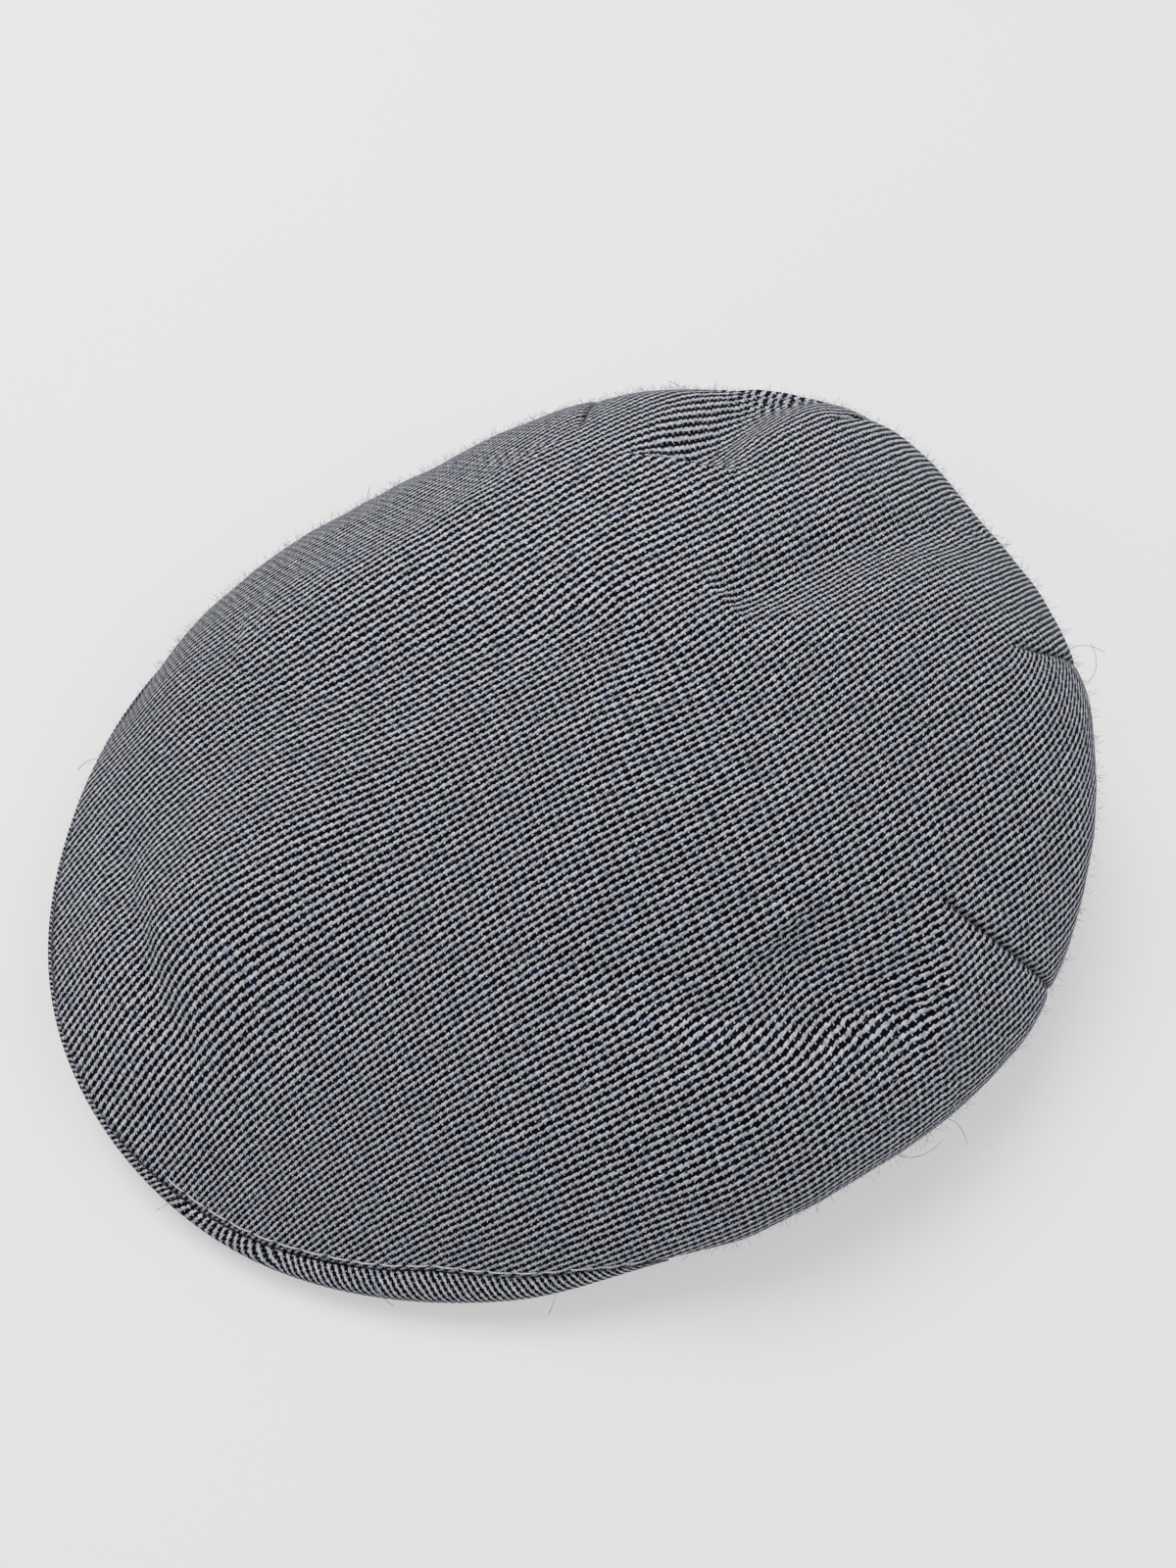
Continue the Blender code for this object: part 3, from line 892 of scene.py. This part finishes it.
def makePeak(plan, material):
    angles = np.arange(-plan["reach"], plan["reach"] + 0.01, plan["step"])
    _, foot, out = edgeLines(angles)
    keep = formPlan["cloth"] + formPlan["gap"]
    outer = foot - out * keep
    outer[:, 2] = np.maximum(foot[:, 2] - keep, plan["thickness"] + formPlan["footLift"])
    inner = np.column_stack([headLine(angles, formPlan["bandThickness"] + formPlan["gap"]),
                             np.full(len(angles), plan["root"] + plan["thickness"])])
    room = ((outer - inner) * out).sum(1)
    share = np.linspace(0, 1, plan["rows"])[:, None]
    sections, maps = [], []
    for i in np.flatnonzero(room > plan["tip"]):
        top = inner[i] + (outer[i] - inner[i]) * share
        ring = np.concatenate([top[::-1] - [0, 0, plan["thickness"]], top])
        sections.append(ring)
        maps.append(ring[:, :2] + out[i, :2] * ring[:, 2:])
    piece = addLoft("peak_board", sections, maps, material)
    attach(piece, "root")
    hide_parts("peak")


makePeak(peakPlan, plainWool)


# Head band
bandPlan = {
    "height": 0.022,
    "sides": 160,
    "rib": 0.0011,
    "reliefStrength": 0.6,
    "reliefHeight": 0.0003,
    "roughness": 0.75,
    "sheen": 0.2,
    "wear": 180,            # noise scale of the uneven colour
    "round": 0.35,          # rounding of the band's edges, share of its thickness
    "colour": (0.012, 0.014, 0.022),
}


def makeBandMaterial(plan):
    tape, bench, shader = startMaterial("bandTape", plan)
    where = bench.clothPlace()
    split = bench.tree.nodes.new("ShaderNodeSeparateXYZ")
    bench.put(where, split.inputs[0])
    rib = bench.math("COSINE", bench.math("MULTIPLY", split.outputs["X"], 2 * math.pi / plan["rib"]))
    wear = bench.noise(where, plan["wear"], 4, 0.6)
    # painted shade: the colour is lighter over each rib and darker in the hollows between, following the
    # relief; the noise adds uneven colour
    tone = bench.math("ADD", bench.math("MULTIPLY", rib, 0.2), bench.math("ADD", wear, 0.4))
    bench.put(bench.vector("SCALE", plan["colour"], tone), shader.inputs["Base Color"])
    bench.relief(rib, shader, plan)
    return tape


def makeBand(plan, material):
    thick = formPlan["bandThickness"]
    turn = np.linspace(0, 360, plan["sides"], endpoint=False)
    fillet = thick * plan["round"]
    profile = np.array([
        (0, fillet), (0, plan["height"] / 2), (0, plan["height"] - fillet), (fillet, plan["height"]),
        (thick - fillet, plan["height"]), (thick, plan["height"] - fillet), (thick, plan["height"] / 2),
        (thick, fillet), (thick - fillet, 0), (fillet, 0)])
    rings = [np.column_stack([headLine(turn, outset), np.full(len(turn), height)])
             for outset, height in profile]
    middle = headLine(turn, thick / 2)
    arc = np.concatenate([[0], np.cumsum(np.linalg.norm(np.roll(middle, -1, 0) - middle, axis=1))])
    girth = lengthAlong(profile)
    girth = np.append(girth, girth[-1] + thick - 2 * fillet)
    sides, count = len(profile), len(turn)
    faces, maps = [], []
    for i in range(count):
        n = (i + 1) % count
        for k in range(sides):
            m = (k + 1) % sides
            faces.append((k * count + i, k * count + n, m * count + n, m * count + i))
            maps += [(arc[i], girth[k]), (arc[i + 1], girth[k]),
                     (arc[i + 1], girth[k + 1]), (arc[i], girth[k + 1])]
    band = addMesh("head_band_tape", np.concatenate(rings), faces, maps, material)
    faceOutward(band)
    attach(band, "root")
    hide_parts("head_band")


makeBand(bandPlan, makeBandMaterial(bandPlan))
print("peak, its edge and the head band ready")


# Thread
threadPlan = {
    "first": 18,            # degrees round
    "last": 73,
    "stitch": 0.0058,
    "space": 0.0005,
    "radius": 0.00020,
    "inset": 0.0016,        # from the crown's edge
    "end": 0.6,             # a stitch's thickness at its ends, share of the thread
    "bow": 0.00042,         # how far a stitch arches over the cloth
    "sunk": 0.0001,         # how deep its ends lie
    "colour": (0.62, 0.62, 0.63),
    "fibre": 2500,          # noise scale of its uneven colour
    "roughness": 0.6,
    "sheen": 0.3,
    "sides": 6,
    "steps": 7,
}


def tube(path, radius, sides, taper=0.25):
    # points and faces of a closed thin tube along a path
    path = np.asarray(path, float)
    ahead = np.gradient(path, axis=0)
    ahead /= np.maximum(np.linalg.norm(ahead, axis=1), 1e-12)[:, None]
    up = np.cross(ahead, np.cross([0.3, 0.2, 1.0], ahead))
    up /= np.maximum(np.linalg.norm(up, axis=1), 1e-12)[:, None]
    side = np.cross(ahead, up)
    turn = np.arange(sides) * 2 * math.pi / sides
    size = np.full(len(path), radius)
    size[0] *= taper
    size[-1] *= taper
    ring = up[:, None] * np.cos(turn)[None, :, None] + side[:, None] * np.sin(turn)[None, :, None]
    points = (path[:, None] + ring * size[:, None, None]).reshape(-1, 3)
    faces = [tuple(range(sides)), tuple(reversed(range((len(path) - 1) * sides, len(path) * sides)))]
    for i in range(len(path) - 1):
        for k in range(sides):
            n = (k + 1) % sides
            faces.append((i * sides + k, (i + 1) * sides + k, (i + 1) * sides + n, i * sides + n))
    return points, faces


def makeThreadMaterial(plan):
    thread, bench, shader = startMaterial("stitchThread", plan)
    tone = bench.math("ADD", bench.noise(bench.objectPlace(), plan["fibre"], 2), 0.5)
    bench.put(bench.vector("SCALE", plan["colour"], tone), shader.inputs["Base Color"])
    return thread


def joinTubes(name, tubes, material):
    points, faces, start = [], [], 0
    for shape, sides in tubes:
        points.append(shape)
        faces += [tuple(start + k for k in side) for side in sides]
        start += len(shape)
    mesh = bpy.data.meshes.new(name)
    mesh.from_pydata([tuple(p) for p in np.concatenate(points)], [], faces)
    mesh.materials.append(material)
    mesh.shade_smooth()
    piece = bpy.data.objects.new(name, mesh)
    bpy.context.scene.collection.objects.link(piece)
    faceOutward(piece)
    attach(piece, "root")
    return piece


def crownPoint(angle, inset):
    # a point of the crown's face this far in from its edge, and the way out of the cloth there
    turned, _, points = crownFace
    rim = crownPlan["upperRows"] - 1
    column = turned[:, rim]
    at = np.argsort(column)

    def read(row, degrees):
        ring = points[at, row]
        wrapped = degrees % 360
        return np.array([np.interp(wrapped, column[at], ring[:, axis], period=360) for axis in range(3)])

    here, above = read(rim, angle), read(rim - 3, angle)
    way = (above - here) / np.linalg.norm(above - here)
    facing = np.cross(here - read(rim, angle + 1), way)
    facing /= np.linalg.norm(facing)
    if facing[2] < 0:
        facing = -facing
    return here + way * inset, facing


def makeTopstitch(plan, material):
    angles = np.arange(plan["first"], plan["last"], 0.5)
    line = [crownPoint(a, plan["inset"]) for a in angles]
    path = np.array([p for p, _ in line])
    facing = np.array([f for _, f in line])
    length = lengthAlong(path)
    tubes = []
    start = 0.0
    while start + plan["stitch"] < length[-1]:
        at = np.linspace(start, start + plan["stitch"], plan["steps"])
        points = np.stack([np.interp(at, length, path[:, k]) for k in range(3)], 1)
        outward = np.stack([np.interp(at, length, facing[:, k]) for k in range(3)], 1)
        bow = np.sin(np.linspace(0, math.pi, plan["steps"])) ** 0.5
        lifted = points + outward * (plan["bow"] * bow - plan["sunk"])[:, None]
        tubes.append(tube(lifted, plan["radius"], plan["sides"], plan["end"]))
        start += plan["stitch"] + plan["space"]
    joinTubes("edge_topstitch", tubes, material)
    print("topstitch:", len(tubes), "stitches")


makeTopstitch(threadPlan, makeThreadMaterial(threadPlan))


# Wool fuzz
fuzzPlan = {
    "seed": 7,
    "hairs": 12000,
    "shortest": 0.0010,
    "longest": 0.0036,
    "radius": 0.000036,
    "colour": (0.15, 0.175, 0.27),
    # its light and dark places: noise scale, detail, roughness, the span and the shares of the colour
    "patch": (260, 2, 0.5, 0.35, 0.65, 0.4, 2.4),
    "roughness": 0.7,
    "sheen": 0,
    "lowest": 1.6,          # share along past which no hair grows
    "lift": (0.25, 0.8),    # how steeply a hair stands off the cloth
    "curl": 1.6,
    "steps": 3,
    "sides": 3,
    "strayReach": 0.4,      # how far a stray hair leans sideways
    "straySteps": 14,
    "straySides": 4,
    "strayRadius": 0.0000648,
    # stray hairs: angle, along, length, lift, twist
    "strays": (
        (44, 1.0, 0.011, 0.5, 1.6),
        (63, 1.0, 0.009, 0.3, -1.2),
        (97, 1.05, 0.012, 0.6, 2.2),
        (104, 1.05, 0.008, 0.4, -2.0),
        (150, 0.93, 0.013, 0.8, 2.4),
        (156, 0.95, 0.010, 0.6, -2.6),
        (318, 1.0, 0.007, 0.5, 1.5),
        (271, 0.98, 0.009, 0.8, -1.8),
        (232, 0.95, 0.009, 0.9, 2.0),
        (20, 1.0, 0.006, 0.3, -1.0),
    ),
}


def hairPath(root, facing, tangent, length, lift, twist, steps):
    # a hair leaves the cloth, curls sideways and droops back
    side = np.cross(facing, tangent)
    path = [root]
    way = tangent * (1 - lift) + facing * lift
    for _ in range(steps - 1):
        way = way / np.linalg.norm(way)
        path.append(path[-1] + way * length / (steps - 1))
        way = way + side * twist / steps - facing * 0.5 * lift / steps
    return np.array(path)


def makeFuzz(plan, material):
    turned, along, points = crownFace
    face = surfaceNormals(points)
    rng = np.random.default_rng(plan["seed"])
    count, rows = points.shape[:2]
    around = np.roll(points, -1, 0) - points
    down = np.diff(points, axis=1)
    area = np.linalg.norm(np.cross(around[:, :-1], down), axis=2)
    area[:, along[:-1] > plan["lowest"]] = 0
    area = area.ravel() / area.sum()
    cells = rng.choice(len(area), plan["hairs"], p=area)
    tubes = []
    for cell in cells:
        i, j = divmod(int(cell), rows - 1)
        n = (i + 1) % count
        u, v = rng.random(2)
        lower = points[i, j] * (1 - u) + points[n, j] * u
        root = lower * (1 - v) + (points[i, j + 1] * (1 - u) + points[n, j + 1] * u) * v
        turn = rng.uniform(0, 2 * math.pi)
        ahead = around[i, j] / max(np.linalg.norm(around[i, j]), 1e-9)
        side = np.cross(face[i, j], ahead)
        tangent = ahead * math.cos(turn) + side * math.sin(turn)
        length = rng.uniform(plan["shortest"], plan["longest"])
        lift, twist = rng.uniform(*plan["lift"]), rng.normal(0, plan["curl"])
        path = hairPath(root, face[i, j], tangent, length, lift, twist, plan["steps"])
        tubes.append(tube(path, plan["radius"], plan["sides"]))
    for angle, share, length, lift, twist in plan["strays"]:
        i = int(np.abs((turned[:, 0] - angle + 180) % 360 - 180).argmin())
        j = int(np.abs(along - share).argmin())
        out = points[i, j] * [1, 1, 0]
        out = out / np.linalg.norm(out)
        across = np.cross([0, 0, 1.0], out)
        ahead = (out + plan["strayReach"] * across) / 1.08      # about one long
        steps = plan["straySteps"]
        path = hairPath(points[i, j], np.array([0, 0, 1.0]), ahead, length, lift * 0.5, twist, steps)
        tubes.append(tube(path, plan["strayRadius"], plan["straySides"]))
    piece = joinTubes("wool_fuzz", tubes, material)
    print("fuzz:", len(tubes), "hairs,", len(piece.data.polygons), "faces")


def makeFuzzMaterial(plan):
    wisp, bench, shader = startMaterial("fuzzWool", plan)
    tone = bench.patches(bench.objectPlace(), *plan["patch"])
    bench.put(bench.vector("SCALE", plan["colour"], tone), shader.inputs["Base Color"])
    return wisp


makeFuzz(fuzzPlan, makeFuzzMaterial(fuzzPlan))
